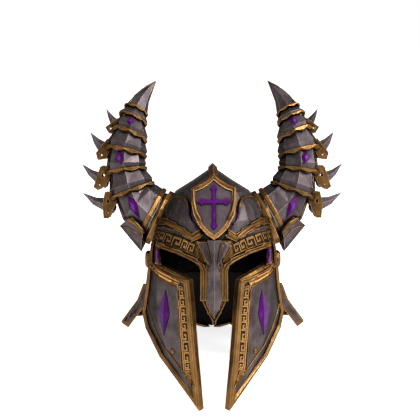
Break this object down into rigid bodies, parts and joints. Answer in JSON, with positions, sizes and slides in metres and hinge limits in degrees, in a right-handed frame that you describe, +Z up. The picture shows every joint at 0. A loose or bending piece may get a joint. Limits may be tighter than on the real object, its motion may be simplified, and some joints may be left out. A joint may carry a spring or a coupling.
{
  "type": "horned helmet",
  "caption": "Closed-face helmet with curved lamed horns, spiked bands, long pointed cheek plates, a nose guard, Greek key borders and a flared neck guard, standing open at the bottom.",
  "frame": {"origin": "centre of the bounding box at floor level, with the helmet standing on its cheek tips and neck guard", "axes": "+Z up, -Y towards the side the face looks out of, +X towards the right as seen from the front"},
  "size_m": [0.3956, 0.2916, 0.4192],
  "materials": {
    "steel": "dark burnished steel, worn brighter on the edges",
    "dark_steel": "near-black burnished steel",
    "horn_steel": "dark burnished steel plates of the horns, satin",
    "bronze": "aged cast bronze, dark in the grooves and rubbed bright on the edges",
    "enamel": "deep purple glass enamel, glossy"
  },
  "bodies": {
    "root": {"crown_shell": "steel", "crest_ridge": "bronze", "emblem_rim": "bronze", "emblem_field": "dark_steel", "emblem_cross": "enamel", "brow_plate_right": "steel", "brow_plate_left": "steel", "brow_band_right": "bronze", "brow_band_left": "bronze", "nasal": "steel", "cheek_plate_right": "steel", "cheek_plate_left": "steel", "cheek_rim_right": "bronze", "cheek_rim_left": "bronze", "cheek_gem_right": "enamel", "cheek_gem_left": "enamel", "temple_boss_right": "bronze", "temple_boss_left": "bronze", "neck_guard": "steel", "neck_rim": "bronze", "horn_collar_right": "bronze", "horn_collar_left": "bronze", "horn_skirt_right": "horn_steel", "horn_skirt_left": "horn_steel", "horn_lame_1_right": "horn_steel", "horn_lame_1_left": "horn_steel", "horn_lame_2_right": "horn_steel", "horn_lame_2_left": "horn_steel", "horn_lame_3_right": "horn_steel", "horn_lame_3_left": "horn_steel", "horn_lame_4_right": "horn_steel", "horn_lame_4_left": "horn_steel", "horn_lame_5_right": "horn_steel", "horn_lame_5_left": "horn_steel", "horn_lame_6_right": "horn_steel", "horn_lame_6_left": "horn_steel", "horn_tip_right": "horn_steel", "horn_tip_left": "horn_steel", "horn_band_1_right": "bronze", "horn_band_1_left": "bronze", "horn_spike_1_right": "horn_steel", "horn_spike_1_left": "horn_steel", "horn_band_2_right": "bronze", "horn_band_2_left": "bronze", "horn_spike_2_right": "horn_steel", "horn_spike_2_left": "horn_steel", "horn_band_3_right": "bronze", "horn_band_3_left": "bronze", "horn_spike_3_right": "horn_steel", "horn_spike_3_left": "horn_steel", "horn_band_4_right": "bronze", "horn_band_4_left": "bronze", "horn_spike_4_right": "horn_steel", "horn_spike_4_left": "horn_steel", "horn_gem_1_right": "enamel", "horn_gem_1_left": "enamel", "horn_gem_2_right": "enamel", "horn_gem_2_left": "enamel", "horn_gem_3_right": "enamel", "horn_gem_3_left": "enamel"}
  },
  "joints": []
}
